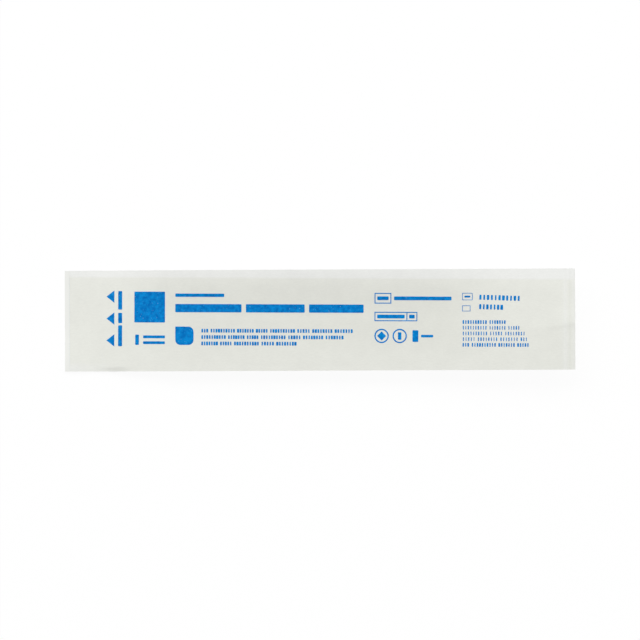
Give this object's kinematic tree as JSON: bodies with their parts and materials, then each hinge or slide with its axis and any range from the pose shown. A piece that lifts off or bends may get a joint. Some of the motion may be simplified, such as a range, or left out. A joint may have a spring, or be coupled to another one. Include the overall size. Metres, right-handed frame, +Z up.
{
  "type": "sealed peel pouch",
  "caption": "Long flat sealed pouch with a printed paper front, heat-sealed edges, a peel tab at its left end and a keel-shaped back pocket around a slim rod-like instrument.",
  "frame": {"origin": "centre of the footprint, on the surface the pouch lies on", "axes": "+X along the length away from the peel tab, +Y across the width, +Z up out of the printed face"},
  "size_m": [0.192, 0.038, 0.0085],
  "materials": {
    "medical_paper": "matte",
    "back_film": "satin",
    "blue_ink": "satin"
  },
  "bodies": {
    "root": {"sealed_pouch": "medical_paper"}
  },
  "joints": []
}
